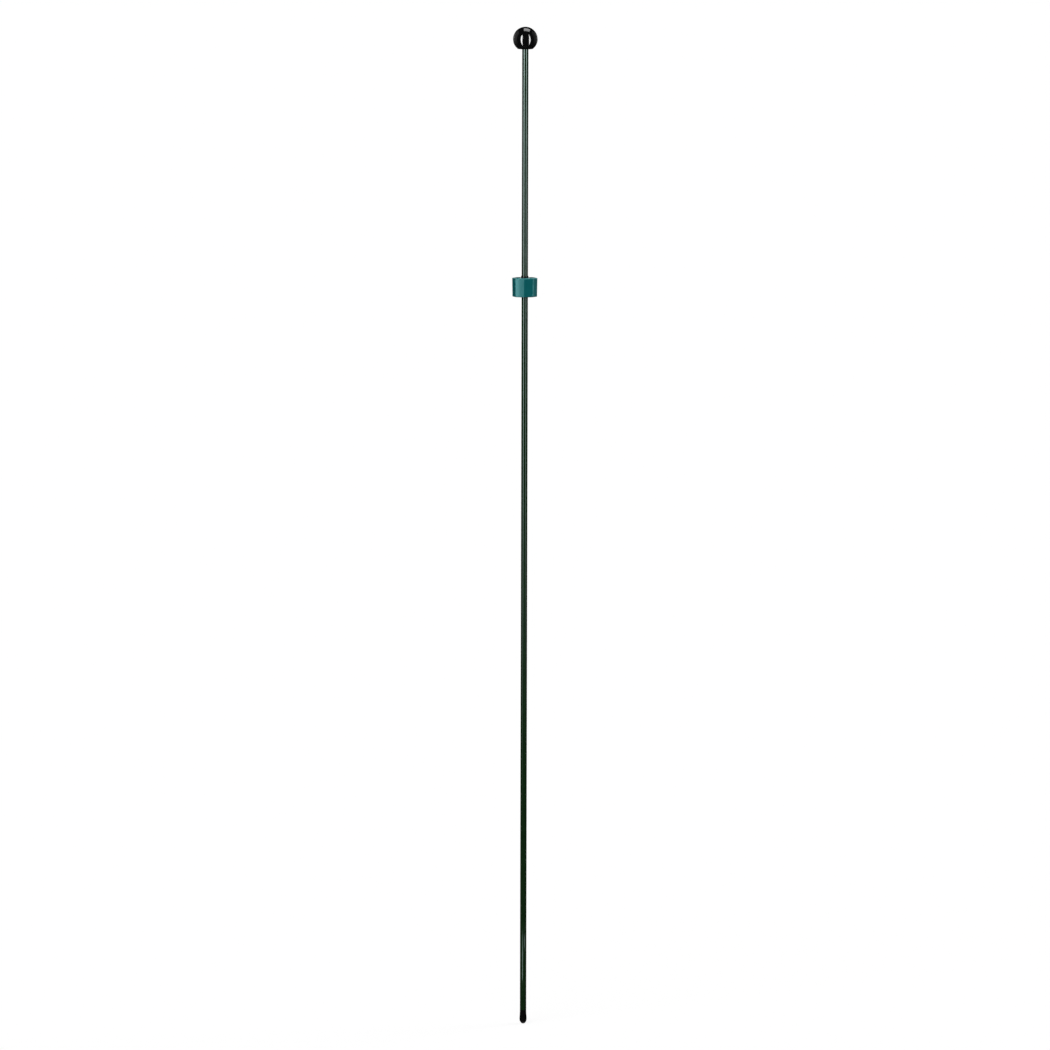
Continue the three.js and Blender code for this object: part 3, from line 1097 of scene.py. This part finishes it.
def black_flags(cloth):
    """Dark drum of cloth round the stake, which keeps the white background out of its gloss."""
    outline = [
        (0.0, FLAG_BOTTOM, 0.0),
        (FLAG_RADIUS, FLAG_BOTTOM, 0.0),
        (FLAG_RADIUS, FLAG_TOP, 0.0),
        (0.0, FLAG_TOP, 0.0),
    ]
    shape = turned(outline, ROD_SIDES)
    mesh = bpy.data.meshes.new("flags")
    shape.to_mesh(mesh)
    shape.free()
    for_reflections(set_object("flags", mesh, cloth))


def ball_panel(material):
    """Level panel above the ball, which shows as the pale patch on its top."""
    mesh = level_sheet("ball_panel", BALL_PANEL_MIDDLE, BALL_PANEL_HALF)
    for_reflections(set_object("ball_panel", mesh, material))


def rod_strips(rod_light, not_cap, not_collar):
    """Strips that draw the rod's two long lines, the gleam above the cap and the dull rims."""
    left_glow = glow("left_glow", 24.0, rise=(0.15, 0.98), power=1.7)
    strip("left_strip", left_glow, rod_light, azimuths=(-47.5, -32.5), heights=(0.15, 1.36))
    right_glow = glow("right_glow", 14.5, rise=(0.20, 1.0), power=1.6)
    strip("right_strip", right_glow, rod_light, azimuths=(37.0, 52.0), heights=(0.20, 1.35))
    low_glow = glow("low_glow", 8.0, fall=(0.040, 0.062))
    strip("low_strip", low_glow, not_cap, azimuths=(-28, -16), heights=(0.010, 0.062))
    spot_glow = glow("spot_glow", 4.0)
    strip("low_spot", spot_glow, not_cap, azimuths=(40, 56), heights=(0.043, 0.055))
    left_rim = glow("left_rim_glow", 0.32, rise=RIM_RISE, power=2.0)
    strip("left_rim", left_rim, not_collar, azimuths=(-134, -86), heights=RIM_HEIGHTS)
    right_rim = glow("right_rim_glow", 0.18, rise=RIM_RISE, power=2.0)
    strip("right_rim", right_rim, None, azimuths=(86, 134), heights=RIM_HEIGHTS)


def ball_crescents(group):
    """Two crescents on the ball for the photograph's view, and duller ones for other sides."""
    ball_crescent(
        "left_crescent", group, FRONT_VIEW, LEFT_CRESCENT,
        azimuth=-18.0, width=0.0045, level=28.0,
    )
    ball_crescent(
        "right_crescent", group, FRONT_VIEW, RIGHT_CRESCENT,
        azimuth=21.5, width=0.0046, level=21.0,
    )
    for side in SIDE_AZIMUTHS:
        ball_crescent(
            "left_side_%d" % side, group, (side, SIDE_RISE), LEFT_CRESCENT,
            azimuth=-18.5, width=0.0046, level=13.0,
        )
        ball_crescent(
            "right_side_%d" % side, group, (side, SIDE_RISE), RIGHT_CRESCENT,
            azimuth=21.5, width=0.0046, level=10.0,
        )


def collar_boxes(group):
    """Boxes that light the collar's left face and its edge, its right corner and its back."""
    for name, azimuth, distance, shift, size, level in (
        ("collar_box", -51, 0.022, 0.0042, (0.0155, 1.2), 2.9),
        ("collar_edge_box", -51, 0.020, 0.0004, (0.0078, 1.2), 3.6),
        ("corner_box", 92, 0.060, 0.0, (0.030, 1.2), 4.5),
        ("back_box", 180, 0.5, 0.0, (0.4, 1.5), 0.9),
    ):
        tall_box(name, group, azimuth, distance, shift, size, level)


def studio(ball, cap, collar):
    """Floor, background, lamps and the panels that the gloss shows."""
    white_world()
    pale_floor()
    soft_lamp("front_lamp", azimuth=-15, elevation=24, level=0.78)
    soft_lamp("back_lamp", azimuth=130, elevation=24, level=0.62)
    black_flags(glow("flag_cloth", FLAG_GLOW))
    ball_panel(glow("ball_glow", BALL_PANEL_GLOW))
    only_ball = receivers("only_ball", [ball], only=True)
    only_collar = receivers("only_collar", [collar], only=True)
    rod_light = receivers("rod_light", [ball, cap, collar], only=False)
    not_cap = receivers("not_cap", [cap], only=False)
    not_collar = receivers("not_collar", [collar], only=False)
    rod_strips(rod_light, not_cap, not_collar)
    ball_crescents(only_ball)
    collar_boxes(only_collar)


photo_camera()
groove_tree = radial_wave()
threaded_core(groove_tree)
rod_coat()
cap_piece = tip_cover()
knurled_bush(groove_tree)
ball_piece = polished_ball()
rubber_sleeve()
collar_piece = collar_moulding()
studio(ball_piece, cap_piece, collar_piece)
bpy.context.scene.view_settings.view_transform = "Standard"
